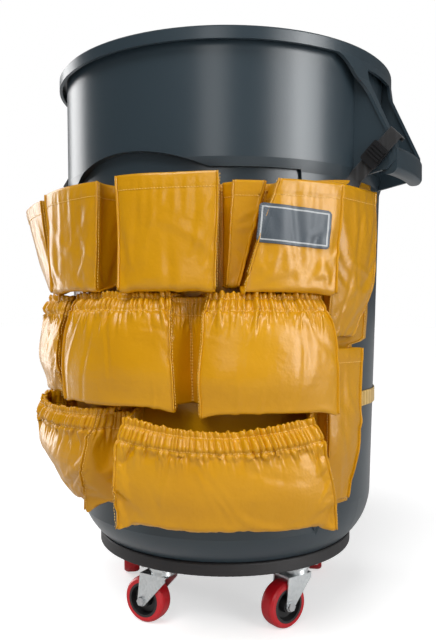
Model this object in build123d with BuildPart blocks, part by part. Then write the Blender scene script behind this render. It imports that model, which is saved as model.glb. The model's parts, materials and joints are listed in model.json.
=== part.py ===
"""Wheeled cleaning caddy: a round waste container on a five-caster dolly, with a pocketed vinyl apron.

Frame: millimetres, +Z up, origin on the floor under the container's axis.
The container's front is -Y and its handles are at +X and -X.
An azimuth is measured in degrees from the front, positive towards +X.
"""

import os
from math import atan2, cos, degrees, radians, sin

from build123d import *

os.makedirs("parts", exist_ok=True)

# ---------------------------------------------------------------- driving dimensions
WHEEL_R = 38.1  # 3 inch caster wheel
WHEEL_W = 30.0
CASTER_COUNT = 5
CASTER_CIRCLE_R = 190.0
CASTER_TRAIL = 30.0
# The way each wheel trails from its kingpin, as the caddy was last pushed (degrees from +X).
CASTER_HEADINGS = (183.5, 250.0, 115.0, 150.0, 130.0)

DOLLY_R = 232.0
DOLLY_RING_WALL = 8.0
DOLLY_PAD_Z = 104.0
DOLLY_RING_LOW = 105.0
DOLLY_RING_TOP = 126.0
DECK_LOW = 111.0
DECK_TOP = 117.0

BIN_GAP = 0.3  # the container stands this far clear of the deck
BIN_BASE = DECK_TOP + BIN_GAP
BIN_WALL = 4.0
BIN_FLOOR = 5.0
FOOT_R = 221.0
STEP_Z = 127.5
STEP_R = 230.0
CORNER_R, CORNER_Z = 267.5, 205.0  # where the rounded bottom meets the tapered wall
WALL_TOP_R, WALL_TOP_Z = 284.0, 730.0
BAND_LOW_R, BAND_LOW_Z = 290.0, 748.0
BAND_TOP_R = 292.0
RIM_R = 305.0
RIM_TOP = 935.0
RIM_SKIRT_LOW = 915.0
RIM_FLANGE = 6.0
RIM_SKIRT = 5.0

RECESS_DEPTH = 6.0
RECESS_HALF = 57.0  # half angle of the front and back panels
ARCH_HALF = 135.0
ARCH_Z = 764.0
RECESS_TOP = 734.0
GROOVE_DEPTH = 8.0
GROOVE_HALF = 9.0
GROOVE_OFF_HANDLE = 23.5  # degrees from the handle's centre line

HANDLE_HALF = 62.0
HANDLE_WALL = 5.0
GRIP_R, GRIP_Z = 347.0, 754.0
GRIP_THICK, GRIP_TALL = 26.0, 44.0

SHEET = 2.0  # coated fabric, with its backing and seams
CLEAR = 0.6  # between the container and the apron
APRON_LOW, APRON_TOP = 214.0, 728.0
APRON_WAIST = 470.0
APRON_LEFT, APRON_RIGHT_LOW, APRON_RIGHT = -62.0, 80.0, 90.0
POCKET_WALL = 1.8
POCKET_BEVEL, POCKET_EDGE = 3.0, 12.0  # the front corner: degrees along and millimetres in
ELASTIC = 1.4
ELASTIC_TALL = 18.0
WEBBING = 25.0
WEBBING_THICK = 2.0

WALL_SLOPE = (WALL_TOP_R - CORNER_R) / (WALL_TOP_Z - CORNER_Z)


def wall_radius(z, inset=0.0):
    """Outer radius of the container's tapered wall, moved in by inset."""
    return CORNER_R + WALL_SLOPE * (z - CORNER_Z) - inset


def around(azimuth, radius, z=0.0):
    """A point at that azimuth and radius."""
    a = radians(azimuth)
    return Vector(radius * sin(a), -radius * cos(a), z)


def radial_plane(azimuth):
    """The upright plane through the axis at that azimuth: local x runs outwards and local y up."""
    a = radians(azimuth)
    return Plane((0, 0, 0), x_dir=(sin(a), -cos(a), 0), z_dir=(-cos(a), -sin(a), 0))


def tangent_plane(azimuth, z):
    """A level plane at height z: local x runs along the wall and local y inwards."""
    a = radians(azimuth)
    return Plane((0, 0, z), x_dir=(cos(a), sin(a), 0), z_dir=(0, 0, 1))


def write(piece, name):
    piece.label = name
    export_step(piece, f"parts/{name}.step")


# ---------------------------------------------------------------- container
def container_form(inset):
    """The container's outside shape, shrunk by inset. Shrunk, it is the room inside and has no top."""
    outside = inset == 0.0
    base = BIN_BASE + (0.0 if outside else BIN_FLOOR)
    foot = FOOT_R - inset
    step = STEP_R - inset
    with BuildPart() as form:
        with BuildSketch(Plane.XZ):
            with BuildLine():
                Polyline(
                    (0, base),
                    (foot - 4, base),
                    (foot, base + 4),
                    (foot, STEP_Z + inset),
                    (step, STEP_Z + inset),
                )
                ThreePointArc(
                    (step, STEP_Z + inset),
                    (251.5 - 0.9 * inset, 153 + 0.45 * inset),
                    (wall_radius(CORNER_Z, inset), CORNER_Z),
                )
                up = [
                    (wall_radius(CORNER_Z, inset), CORNER_Z),
                    (WALL_TOP_R - inset, WALL_TOP_Z),
                    (BAND_LOW_R - inset, BAND_LOW_Z),
                ]
                if outside:
                    flange_low = RIM_TOP - RIM_FLANGE
                    skirt_in = RIM_R - RIM_SKIRT
                    up += [
                        (BAND_TOP_R, flange_low),
                        (skirt_in, flange_low),
                        (skirt_in, RIM_SKIRT_LOW),
                        (RIM_R, RIM_SKIRT_LOW),
                        (RIM_R, RIM_TOP - 3),
                        (RIM_R - 3, RIM_TOP),
                        (0, RIM_TOP),
                        (0, base),
                    ]
                else:
                    up += [
                        (BAND_TOP_R - inset, RIM_TOP - RIM_FLANGE),
                        (BAND_TOP_R - inset, RIM_TOP + 10),
                        (0, RIM_TOP + 10),
                        (0, base),
                    ]
                Polyline(*up)
            make_face()
        revolve(axis=Axis.Z)
    return form.part


def recess_cutter(inset):
    """What the arched front and back panels take away: an arch-headed prism outside the recessed cone."""
    half = wall_radius(WALL_TOP_Z) * sin(radians(RECESS_HALF)) + inset
    low, high = 140.0, RECESS_TOP + inset
    with BuildPart() as cutter:
        with BuildSketch(Plane.XZ):
            with BuildLine():
                Polyline(
                    (-ARCH_HALF, high),
                    (-half, high),
                    (-half, low),
                    (half, low),
                    (half, high),
                    (ARCH_HALF, high),
                )
                ThreePointArc((ARCH_HALF, high), (0, ARCH_Z + inset), (-ARCH_HALF, high))
            make_face()
        extrude(amount=400, both=True)
        with BuildSketch(Plane.XZ):
            inner = RECESS_DEPTH + inset
            Polygon(
                (0, low - 10),
                (wall_radius(low - 10, inner), low - 10),
                (wall_radius(ARCH_Z + 20, inner), ARCH_Z + 20),
                (0, ARCH_Z + 20),
                align=None,
            )
        revolve(axis=Axis.Z, mode=Mode.SUBTRACT)
    return cutter.part


def groove_cutter(inset):
    """Four upright V grooves, two beside each handle, that follow the wall's taper."""
    low, length = 150.0, 560.0
    with BuildPart() as cutter:
        for side in (0, 180):
            for off in (-GROOVE_OFF_HANDLE, GROOVE_OFF_HANDLE):
                a = radians(side + off)
                r = wall_radius(low)
                rise = Vector(WALL_SLOPE * cos(a), WALL_SLOPE * sin(a), 1)
                place = Plane((r * cos(a), r * sin(a), low), x_dir=(-sin(a), cos(a), 0), z_dir=rise)
                wide = GROOVE_HALF + inset
                with BuildSketch(place):
                    Polygon((-wide - 2, -3), (wide + 2, -3), (0, GROOVE_DEPTH + inset), align=None)
                extrude(amount=length)
    return cutter.part


outer_form = container_form(0.0)
with BuildPart() as bin_room:
    add(container_form(BIN_WALL))
    add(recess_cutter(BIN_WALL), mode=Mode.SUBTRACT)
    add(groove_cutter(BIN_WALL), mode=Mode.SUBTRACT)

with BuildPart() as bin_shell:
    add(outer_form)
    add(recess_cutter(0.0), mode=Mode.SUBTRACT)
    add(groove_cutter(0.0), mode=Mode.SUBTRACT)
    add(bin_room.part, mode=Mode.SUBTRACT)
write(bin_shell.part, "container_shell")


# ---------------------------------------------------------------- handles
# Outside of the handle, as (radius, z).
HANDLE_LINE = [(RIM_R, RIM_SKIRT_LOW), (309, 885), (357, 778), (359, 752)]


def handle(azimuth):
    """One loop handle: a flared outer skin with a hand window, two side webs and a rounded grip."""
    place = radial_plane(azimuth)
    skin_arc = 52.0
    with BuildPart() as skin:
        with BuildSketch(radial_plane(azimuth - skin_arc / 2)):
            with BuildLine():
                inner = [(r - HANDLE_WALL, z) for r, z in HANDLE_LINE]
                Polyline(*HANDLE_LINE, *reversed(inner), close=True)
            make_face()
        revolve(axis=Axis.Z, revolution_arc=skin_arc)
        # The outline seen from outside, cut through the skin: a swept shoulder under the rim, then two legs.
        facing = Plane(around(azimuth, 250), x_dir=around(azimuth + 90, 1), z_dir=around(azimuth, 1))
        with BuildSketch(facing):
            with BuildLine():
                Polyline((-116, 915), (116, 915))
                Spline((116, 915), (82, 884), (67, 856), tangents=((-1, -0.35), (-0.12, -1)))
                Polyline((67, 856), (HANDLE_HALF, 745), (-HANDLE_HALF, 745), (-67, 856))
                Spline((-67, 856), (-82, 884), (-116, 915), tangents=((-0.12, 1), (-1, 0.35)))
            make_face()
            with BuildLine():
                Polyline((-50, 904), (50, 904), (53, 773), (-53, 773), close=True)
            make_face(mode=Mode.SUBTRACT)
        extrude(amount=160, mode=Mode.INTERSECT)

    with BuildPart() as piece:
        add(skin.part)
        for side in (-1, 1):
            web = Plane(
                around(azimuth + 90, side * (HANDLE_HALF - HANDLE_WALL / 2)),
                x_dir=place.x_dir,
                z_dir=place.z_dir,
            )
            with BuildSketch(web):
                Polygon(
                    (262, 727),
                    (338, 740),
                    (352, 752),
                    (350, 776),
                    (302, 883),
                    (297, 914),
                    (290, 929),
                    (262, 929),
                    align=None,
                )
            extrude(amount=HANDLE_WALL / 2, both=True)
        grip_arc = 2 * degrees(atan2(HANDLE_HALF - 1, GRIP_R))
        with BuildSketch(radial_plane(azimuth - grip_arc / 2)):
            with Locations((GRIP_R, GRIP_Z)):
                RectangleRounded(GRIP_THICK, GRIP_TALL, 11)
        revolve(axis=Axis.Z, revolution_arc=grip_arc)
        add(outer_form, mode=Mode.SUBTRACT)
    return piece.part


write(handle(90), "handle_right")
write(handle(-90), "handle_left")


# ---------------------------------------------------------------- apron
def sheet_profile(low, high, gap, thick):
    """Section of a sheet that hangs along the container's wall, gap clear of it."""
    return (
        (wall_radius(low) + gap, low),
        (wall_radius(low) + gap + thick, low),
        (wall_radius(high) + gap + thick, high),
        (wall_radius(high) + gap, high),
    )


with BuildPart() as apron:
    upper = (APRON_WAIST, APRON_TOP, APRON_RIGHT)
    lower = (APRON_LOW, APRON_WAIST, APRON_RIGHT_LOW)
    for low, high, right in (upper, lower):
        with BuildSketch(radial_plane(APRON_LEFT)):
            Polygon(*sheet_profile(low, high, CLEAR, SHEET), align=None)
        revolve(axis=Axis.Z, revolution_arc=right - APRON_LEFT)
write(apron.part, "apron_panel")

with BuildPart() as behind_pockets:
    with BuildSketch(Plane.XZ):
        reach = CLEAR + SHEET
        face_low, face_high = wall_radius(180) + reach, wall_radius(760) + reach
        Polygon((0, 180), (face_low, 180), (face_high, 760), (0, 760), align=None)
    revolve(axis=Axis.Z)


def pocket_form(sections, inset=0.0, top_cut=0.0):
    """A pocket's outside, lofted through level sections and shrunk by inset.

    A section is (z, left reach, right reach, left azimuth, right azimuth).
    Its front is an arc between the two reaches, and its sides run in towards the axis.
    """
    turn = degrees(inset / 300)
    with BuildPart() as form:
        for i, (z, reach_left, reach_right, left, right) in enumerate(sections):
            level = z + (inset if i == 0 else 0.0) + (top_cut if i == len(sections) - 1 else 0.0)
            left, right = left + turn, right - turn
            bevel = min(POCKET_BEVEL, 0.25 * (right - left))
            out_left, out_right = reach_left - inset, reach_right - inset
            middle = around((left + right) / 2, (out_left + out_right) / 2, level)
            start, end = around(left + bevel, out_left, level), around(right - bevel, out_right, level)
            with BuildSketch(Plane.XY.offset(level)):
                with BuildLine():
                    ThreePointArc(*(Vector(p.X, p.Y) for p in (start, middle, end)))
                    Polyline(
                        around(right - bevel, out_right),
                        around(right, out_right - POCKET_EDGE),
                        around(right, 150),
                        around(left, 150),
                        around(left, out_left - POCKET_EDGE),
                        around(left + bevel, out_left),
                    )
                make_face()
        loft(ruled=True)
    return form.part


def pocket(sections):
    """A sewn pocket: front, sides and bottom, open at the top and closed behind by the apron."""
    with BuildPart() as piece:
        add(pocket_form(sections))
        add(pocket_form(sections, POCKET_WALL, 0.5), mode=Mode.SUBTRACT)
        add(behind_pockets.part, mode=Mode.SUBTRACT)
    return piece.part


def elastic(sections):
    """The elastic band in a pocket's mouth, against the inside of its wall."""
    with BuildPart() as band:
        add(pocket_form(sections, POCKET_WALL))
        add(pocket_form(sections, POCKET_WALL + ELASTIC, 0.5), mode=Mode.SUBTRACT)
        add(behind_pockets.part, mode=Mode.SUBTRACT)
        with BuildSketch(Plane.XY.offset(sections[-1][0] - 2 - ELASTIC_TALL)):
            Rectangle(900, 900)
        extrude(amount=ELASTIC_TALL, mode=Mode.INTERSECT)
    return band.part


# Each pocket's level sections: (z, left reach, right reach, left azimuth, right azimuth).
TOP_ROW = {
    "pocket_top_far_left": [
        (548, 318, 318, -54, -30),
        (600, 342, 326, -55, -29.5),
        (704, 372, 334, -56, -29.5),
    ],
    "pocket_top_left": [(550, 334, 336, -25.5, -3), (712, 340, 340, -27, -1.5)],
    "pocket_top_centre": [(550, 336, 336, 5, 30.5), (716, 338, 338, 4.5, 31.3)],
    "pocket_top_narrow": [(552, 300, 300, 32.3, 36), (708, 312, 312, 32.3, 44)],
    "pocket_top_right": [(546, 334, 334, 37, 62), (706, 338, 338, 46.5, 63.8)],
    "pocket_side_upper": [
        (478, 288, 288, 66.5, 78),
        (560, 304, 302, 65.5, 86),
        (716, 306, 298, 65, 89),
    ],
}
MIDDLE_ROW = {
    "pocket_middle_left": [
        (384, 318, 318, -54, -20),
        (430, 342, 342, -58, -19),
        (505, 334, 334, -57, -19),
        (536, 306, 306, -54, -20),
    ],
    "pocket_middle_centre": [
        (378, 332, 332, -16.5, 20),
        (422, 345, 345, -17.5, 20.5),
        (505, 337, 337, -17, 20),
        (538, 306, 306, -15.5, 18.5),
    ],
    "pocket_middle_right": [
        (371, 333, 333, 25, 62),
        (415, 345, 345, 24, 62.5),
        (505, 337, 337, 24.5, 62),
        (538, 306, 306, 26, 60),
    ],
}
BOTTOM_ROW = {
    "pocket_bottom_left": [
        (210, 302, 302, -50, 2),
        (280, 342, 342, -58, 3.5),
        (340, 336, 336, -57, 3),
        (366, 322, 322, -54, 2),
    ],
    "pocket_bottom_right": [
        (207, 331, 331, 5.2, 62.2),
        (260, 348, 348, 4.8, 62.5),
        (330, 346, 346, 5, 62),
        (366, 330, 330, 6, 60),
    ],
}
SIDE_LOW = {
    "pocket_side_lower": [
        (222, 282, 282, 65.5, 76),
        (300, 302, 298, 64.5, 78.5),
        (462, 302, 298, 64.5, 78.5),
    ],
}

for name, sections in {**TOP_ROW, **MIDDLE_ROW, **BOTTOM_ROW, **SIDE_LOW}.items():
    write(pocket(sections), name)
for name, sections in {**MIDDLE_ROW, **BOTTOM_ROW}.items():
    write(elastic(sections), name.replace("pocket", "elastic"))

# The printed label on the right pocket's front.
LABEL_AZIMUTH, LABEL_Z = 51.5, 641.0
LABEL_W, LABEL_H = 92.0, 56.0
with BuildPart() as label:
    label_out = around(LABEL_AZIMUTH, 1)
    with BuildSketch(Plane(300 * label_out, x_dir=around(LABEL_AZIMUTH + 90, 1), z_dir=label_out)):
        with Locations((0, LABEL_Z)):
            RectangleRounded(LABEL_W, LABEL_H, 5)
    extrude(amount=60)
    with BuildSketch(Plane.XY.offset(LABEL_Z - LABEL_H)):
        Circle(338.6)
    extrude(amount=2 * LABEL_H, mode=Mode.INTERSECT)
    add(pocket_form(TOP_ROW["pocket_top_right"]), mode=Mode.SUBTRACT)
write(label.part, "label_patch")


# ---------------------------------------------------------------- straps and buckles
LEG_R, LEG_Z = 348.0, 788.0  # where a strap goes round the handle's front leg
STRAP_SLOPE = 44.0
LEG_WIDTH = 13.0
STRAP_RETURN = 4.0  # how far the strap comes back inside the leg
LEG_SLACK = 5.1  # the strap crosses the leaning leg at a slant, so its loop stands off the leg's edge
STRAP_START_R = 281.0
STRAP_Y = HANDLE_HALF + 4.0


def strap_plane(side):
    """Origin where the strap leaves the container, local x up along it, local z towards the front."""
    a = radians(STRAP_SLOPE)
    length = (LEG_R - STRAP_START_R) / cos(a)
    start = (side * STRAP_START_R, -STRAP_Y, LEG_Z - length * sin(a))
    return Plane(start, x_dir=(side * cos(a), 0, sin(a)), z_dir=(0, -1, 0)), length


def handle_strap(side, azimuth_low, azimuth_high):
    """Webbing that leaves the apron, lies on the wall, then stands out to the handle's leg and round it."""
    frame, length = strap_plane(side)
    half = WEBBING_THICK / 2
    inside = 2 * half + LEG_WIDTH
    tip = length + LEG_SLACK
    low, high = 700.0, frame.origin.Z
    middle = (azimuth_low + azimuth_high) / 2
    with BuildPart() as strap:
        with BuildSketch(radial_plane(middle - 20)):
            reach = CLEAR + SHEET
            Polygon(
                (wall_radius(low - 8) + reach, low - 8),
                (BAND_LOW_R + 1.5, high),
                (BAND_LOW_R + 1.5, high + 12),
                (BAND_LOW_R + 1.5 + WEBBING_THICK, high + 12),
                (BAND_LOW_R + 1.5 + WEBBING_THICK, high),
                (wall_radius(low - 8) + reach + WEBBING_THICK, low - 8),
                align=None,
            )
        revolve(axis=Axis.Z, revolution_arc=40)
        facing = Plane(around(middle, 200), x_dir=around(middle + 90, 1), z_dir=around(middle, 1))
        run = BAND_LOW_R * radians(azimuth_high - azimuth_low)
        with BuildSketch(facing):
            with BuildLine():
                Line((-run / 2, low), (run / 2, high))
            trace(line_width=WEBBING)
        extrude(amount=150, mode=Mode.INTERSECT)
        with BuildSketch(Plane(frame.origin, x_dir=frame.x_dir, z_dir=frame.y_dir)):
            with BuildLine():
                Polyline(
                    (0, -half),
                    (tip + half, -half),
                    (tip + half, inside + half),
                    (length - STRAP_RETURN, inside + half),
                    (length - STRAP_RETURN, inside - half),
                    (tip - half, inside - half),
                    (tip - half, half),
                    (0, half),
                    close=True,
                )
            make_face()
        extrude(amount=WEBBING / 2, both=True)
        add(outer_form, mode=Mode.SUBTRACT)
    return strap.part


def ladder_buckle(side):
    """A ladder-lock buckle: a frame with a ribbed thumb tab, on the outside of the strap."""
    frame, length = strap_plane(side)
    base = frame.offset(WEBBING_THICK / 2)
    with BuildPart() as buckle:
        with BuildSketch(base):
            with Locations((0.6 * length, 0)):
                RectangleRounded(36, 31, 4)
        extrude(amount=5)
        with BuildSketch(base.offset(5)):
            for i in range(4):
                with Locations((0.6 * length - 4 + 5.4 * i, 0)):
                    Rectangle(3, 27)
        extrude(amount=2.4)
    return buckle.part


for name, side, low_end, high_end in (("right", 1, 75.0, 74.7), ("left", -1, -59.5, -77.1)):
    write(handle_strap(side, low_end, high_end), f"strap_{name}")
    write(ladder_buckle(side), f"buckle_{name}")

WAIST_Z = 362.0
WAIST_R = wall_radius(WAIST_Z + WEBBING) + 0.8
with BuildPart() as waist_strap:
    with BuildSketch(radial_plane(APRON_RIGHT_LOW)):
        with Locations((WAIST_R + WEBBING_THICK / 2, WAIST_Z + WEBBING / 2)):
            Rectangle(WEBBING_THICK, WEBBING)
    revolve(axis=Axis.Z, revolution_arc=360 + APRON_LEFT - APRON_RIGHT_LOW)
write(waist_strap.part, "strap_waist")

with BuildPart() as waist_buckle:
    rear = Plane(
        around(180, WAIST_R + WEBBING_THICK + 2.4, WAIST_Z + WEBBING / 2),
        x_dir=(-1, 0, 0),
        z_dir=(0, 1, 0),
    )
    with BuildSketch(rear):
        RectangleRounded(62, 32, 4)
    extrude(amount=6)
    with BuildSketch(rear.offset(6)):
        for x in (-20, -15, 15, 20):
            with Locations((x, 0)):
                Rectangle(2.6, 26)
    extrude(amount=1.6)
    with BuildSketch(rear):
        RectangleRounded(50, 26, 3)
    extrude(amount=-4)
    with BuildSketch(Plane.XY.offset(WAIST_Z - 20)):
        Circle(WAIST_R + WEBBING_THICK)
    extrude(amount=80, mode=Mode.SUBTRACT)
write(waist_buckle.part, "buckle_waist")


# ---------------------------------------------------------------- dolly
FORK_CROWN_LOW, FORK_CROWN_TOP = 82.0, 85.0
FORK_CUP_TOP = 92.0
RACE_LOW = 92.4
PLATE_LOW = 101.0
PLATE = 60.0
SCREW_OFF = 22.0
KINGPIN_R = 5.0
FORK_IN = WHEEL_W / 2 + 1.5
FORK_WALL = 2.5
AXLE_R = 4.0
BUSH_R = 6.0
TREAD_IN = 28.5


def kingpin(i):
    return around(360 / CASTER_COUNT * i, CASTER_CIRCLE_R)


def plate_places():
    """The casters' seats under the deck, each squared up with its own radius."""
    return [Location(tuple(kingpin(i)), (0, 0, 360 / CASTER_COUNT * i)) for i in range(CASTER_COUNT)]


PAD_R = 34.0
with BuildPart() as dolly:
    with BuildSketch(Plane.XY.offset(DOLLY_RING_LOW)):
        Circle(DOLLY_R)
        Circle(DOLLY_R - DOLLY_RING_WALL, mode=Mode.SUBTRACT)
    extrude(amount=DOLLY_RING_TOP - DOLLY_RING_LOW)
    fillet(dolly.edges().filter_by(GeomType.CIRCLE).group_by(SortBy.RADIUS)[-1], 2.5)
    with BuildSketch(Plane.XY.offset(DECK_LOW)):
        Circle(DOLLY_R - DOLLY_RING_WALL + 1)
        Circle(45, mode=Mode.SUBTRACT)
    extrude(amount=DECK_TOP - DECK_LOW)
    # Ribs and caster pads under the deck.
    with BuildSketch(Plane.XY.offset(DOLLY_PAD_Z)):
        for r in (52, 130):
            Circle(r)
            Circle(r - 6, mode=Mode.SUBTRACT)
        with PolarLocations(0, CASTER_COUNT, start_angle=-90):
            with Locations((115, 0)):
                Rectangle(140, 6)
        with PolarLocations(0, CASTER_COUNT, start_angle=-54):
            with Locations((137, 0)):
                Rectangle(180, 6)
        with Locations(*plate_places()):
            Circle(PAD_R)
    extrude(amount=DECK_LOW - DOLLY_PAD_Z)
    # Room for each kingpin's head and its screws.
    with BuildSketch(Plane.XY.offset(DOLLY_PAD_Z)):
        with Locations(*plate_places()):
            Circle(10)
    extrude(amount=4, mode=Mode.SUBTRACT)
    with BuildSketch(Plane.XY.offset(DOLLY_PAD_Z)):
        with Locations(*plate_places()):
            with GridLocations(2 * SCREW_OFF, 2 * SCREW_OFF, 2, 2):
                Circle(2.5)
    extrude(amount=9, mode=Mode.SUBTRACT)
write(dolly.part, "dolly_deck")

with BuildPart() as plates:
    with BuildSketch(Plane.XY.offset(PLATE_LOW)):
        with Locations(*plate_places()):
            RectangleRounded(PLATE, PLATE, 6)
    extrude(amount=DOLLY_PAD_Z - PLATE_LOW)
    with BuildSketch(Plane.XY.offset(RACE_LOW)):
        with Locations(*plate_places()):
            Circle(22)
    extrude(amount=PLATE_LOW - RACE_LOW)
    with BuildSketch(Plane.XY.offset(RACE_LOW)):
        with Locations(*plate_places()):
            Circle(KINGPIN_R)
            with GridLocations(2 * SCREW_OFF, 2 * SCREW_OFF, 2, 2):
                Circle(3)
    extrude(amount=20, mode=Mode.SUBTRACT)
write(plates.part, "caster_top_plates")

with BuildPart() as screws:
    with BuildSketch(Plane.XY.offset(PLATE_LOW - 3.5)):
        with Locations(*plate_places()):
            with GridLocations(2 * SCREW_OFF, 2 * SCREW_OFF, 2, 2):
                RegularPolygon(5.5, 6)
    extrude(amount=3.5)
    with BuildSketch(Plane.XY.offset(PLATE_LOW)):
        with Locations(*plate_places()):
            with GridLocations(2 * SCREW_OFF, 2 * SCREW_OFF, 2, 2):
                Circle(2.5)
    extrude(amount=11)
write(screws.part, "caster_screws")

with BuildPart() as kingpins:
    with BuildSketch(Plane.XY.offset(FORK_CROWN_LOW - 3)):
        with Locations(*plate_places()):
            Circle(9)
    extrude(amount=2.7)
    with BuildSketch(Plane.XY.offset(FORK_CROWN_LOW - 3)):
        with Locations(*plate_places()):
            Circle(KINGPIN_R)
    extrude(amount=DOLLY_PAD_Z + 3 - FORK_CROWN_LOW + 3)
write(kingpins.part, "caster_kingpins")


# ---------------------------------------------------------------- casters
def caster_frame(i):
    """Level plane on the floor under a kingpin, with local x the way that wheel trails."""
    a = radians(CASTER_HEADINGS[i])
    return Plane(kingpin(i), x_dir=(cos(a), sin(a), 0), z_dir=(0, 0, 1))


def axle_plane(i, y=0.0):
    """Upright plane across the axle: local x trails, local y is up, its origin is the wheel's centre."""
    flat = caster_frame(i)
    centre = flat.origin + flat.x_dir * CASTER_TRAIL + flat.y_dir * y + Vector(0, 0, WHEEL_R)
    return Plane(centre, x_dir=flat.x_dir, z_dir=-flat.y_dir)


def fork(i):
    flat = caster_frame(i)
    side = FORK_IN + FORK_WALL
    with BuildPart() as piece:
        with BuildSketch(flat.offset(FORK_CROWN_LOW)):
            with Locations((8, 0)):
                RectangleRounded(50, 2 * side, 2)
        extrude(amount=FORK_CROWN_TOP - FORK_CROWN_LOW)
        with BuildSketch(flat.offset(FORK_CROWN_TOP)):
            Circle(20)
        extrude(amount=FORK_CUP_TOP - FORK_CROWN_TOP, taper=8)
        for y in (-FORK_IN - FORK_WALL / 2, FORK_IN + FORK_WALL / 2):
            leg = axle_plane(i, y)
            crown = FORK_CROWN_TOP - WHEEL_R
            with BuildSketch(leg):
                with BuildLine():
                    Polyline((8.5, 0), (3.5, crown), (-46.5, crown), (-46.5, crown - 8), (-7, -4.8))
                    ThreePointArc((-7, -4.8), (1, -8.4), (8.5, 0))
                make_face()
            extrude(amount=FORK_WALL / 2, both=True)
        with BuildSketch(flat.offset(FORK_CROWN_LOW - 1)):
            Circle(KINGPIN_R + 0.08)
        extrude(amount=20, mode=Mode.SUBTRACT)
        with BuildSketch(axle_plane(i)):
            Circle(AXLE_R + 0.05)
        extrude(amount=60, both=True, mode=Mode.SUBTRACT)
    return piece.part


def axle(i):
    """The axle bolt with its head on one side and a nut on the other."""
    side = FORK_IN + FORK_WALL
    with BuildPart() as piece:
        with BuildSketch(axle_plane(i)):
            Circle(AXLE_R)
        extrude(amount=side + 7.5)
        with BuildSketch(axle_plane(i)):
            Circle(AXLE_R)
        extrude(amount=-side - 0.5)
        with BuildSketch(axle_plane(i, side)):
            RegularPolygon(7.4, 6)
        extrude(amount=-4.5)
        with BuildSketch(axle_plane(i, -side)):
            RegularPolygon(7.4, 6)
        extrude(amount=6.0)
    return piece.part


def bush(i):
    with BuildPart() as piece:
        with BuildSketch(axle_plane(i)):
            Circle(BUSH_R)
            Circle(AXLE_R + 0.05, mode=Mode.SUBTRACT)
        extrude(amount=FORK_IN, both=True)
    return piece.part


def wheel_ring(i, profile):
    """Spins a half section, given as (across, out) points, about the axle."""
    centre = axle_plane(i)
    across = Plane(centre.origin, x_dir=centre.z_dir, z_dir=centre.x_dir)
    with BuildPart() as piece:
        with BuildSketch(across):
            with BuildLine():
                Polyline(*profile, close=True)
            make_face()
        revolve(axis=Axis(centre.origin, centre.z_dir))
    return piece.part


def tread(i):
    half = WHEEL_W / 2
    return wheel_ring(
        i,
        [
            (-half, TREAD_IN),
            (-half, WHEEL_R - 4),
            (-half + 3.5, WHEEL_R - 1),
            (-half + 8, WHEEL_R),
            (half - 8, WHEEL_R),
            (half - 3.5, WHEEL_R - 1),
            (half, WHEEL_R - 4),
            (half, TREAD_IN),
        ],
    )


def hub(i):
    half, bore = WHEEL_W / 2, BUSH_R + 0.08
    side = [(-half, TREAD_IN), (-half, TREAD_IN - 4), (-5, 22), (-5, 13), (-half - 1, 11), (-half - 1, bore)]
    return wheel_ring(i, side + [(-x, r) for x, r in reversed(side)])


for i in range(CASTER_COUNT):
    for name, make in (("fork", fork), ("axle", axle), ("bush", bush), ("hub", hub), ("tread", tread)):
        write(make(i), f"caster_{i + 1}_{name}")
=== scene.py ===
"""Looks of the wheeled cleaning caddy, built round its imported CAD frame. Metres, +Z up, front at -Y.

An azimuth is in degrees from the front, positive towards the right-hand handle at +X.
"""

import json
from math import cos, pi, radians, sin

import bmesh
import bpy
import numpy as np
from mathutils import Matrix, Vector


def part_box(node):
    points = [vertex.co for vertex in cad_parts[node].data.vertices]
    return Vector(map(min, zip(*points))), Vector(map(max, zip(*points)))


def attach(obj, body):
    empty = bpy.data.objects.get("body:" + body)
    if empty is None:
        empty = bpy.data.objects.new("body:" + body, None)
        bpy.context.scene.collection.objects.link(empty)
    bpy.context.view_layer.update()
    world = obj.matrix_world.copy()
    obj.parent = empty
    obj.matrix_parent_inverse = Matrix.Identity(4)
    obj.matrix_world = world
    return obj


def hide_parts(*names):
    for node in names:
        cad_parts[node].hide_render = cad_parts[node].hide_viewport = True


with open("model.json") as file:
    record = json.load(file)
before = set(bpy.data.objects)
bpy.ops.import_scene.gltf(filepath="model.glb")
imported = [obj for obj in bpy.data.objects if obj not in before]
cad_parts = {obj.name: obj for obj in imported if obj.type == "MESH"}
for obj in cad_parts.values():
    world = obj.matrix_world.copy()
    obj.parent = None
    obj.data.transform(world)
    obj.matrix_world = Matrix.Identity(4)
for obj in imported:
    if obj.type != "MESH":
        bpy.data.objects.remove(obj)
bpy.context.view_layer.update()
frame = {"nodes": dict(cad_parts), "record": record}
NODES = frame["nodes"]

# ---------------------------------------------------------------- camera
VIEW_AZIMUTH = 33.0
CAMERA_DISTANCE = 1.297
CAMERA_HEIGHT = 0.511
CAMERA_LENS = 38.5
CAMERA_TURN = 0.59  # degrees to the left of the container's axis
CAMERA_DIP = 0.26


def make_camera():
    camera = bpy.data.objects.new("camera", bpy.data.cameras.new("camera"))
    bpy.context.scene.collection.objects.link(camera)
    camera.data.lens = CAMERA_LENS
    camera.data.sensor_width = 36.0
    camera.data.clip_end = 100.0
    a = radians(VIEW_AZIMUTH)
    camera.location = (CAMERA_DISTANCE * sin(a), -CAMERA_DISTANCE * cos(a), CAMERA_HEIGHT)
    camera.rotation_euler = (radians(90 - CAMERA_DIP), 0, radians(VIEW_AZIMUTH + CAMERA_TURN))
    bpy.context.scene.camera = camera


make_camera()


# ---------------------------------------------------------------- material helpers
def new_material(name):
    material = bpy.data.materials.new(name)
    material.use_nodes = True
    nodes, links = material.node_tree.nodes, material.node_tree.links
    return material, nodes, links, nodes["Principled BSDF"]


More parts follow.
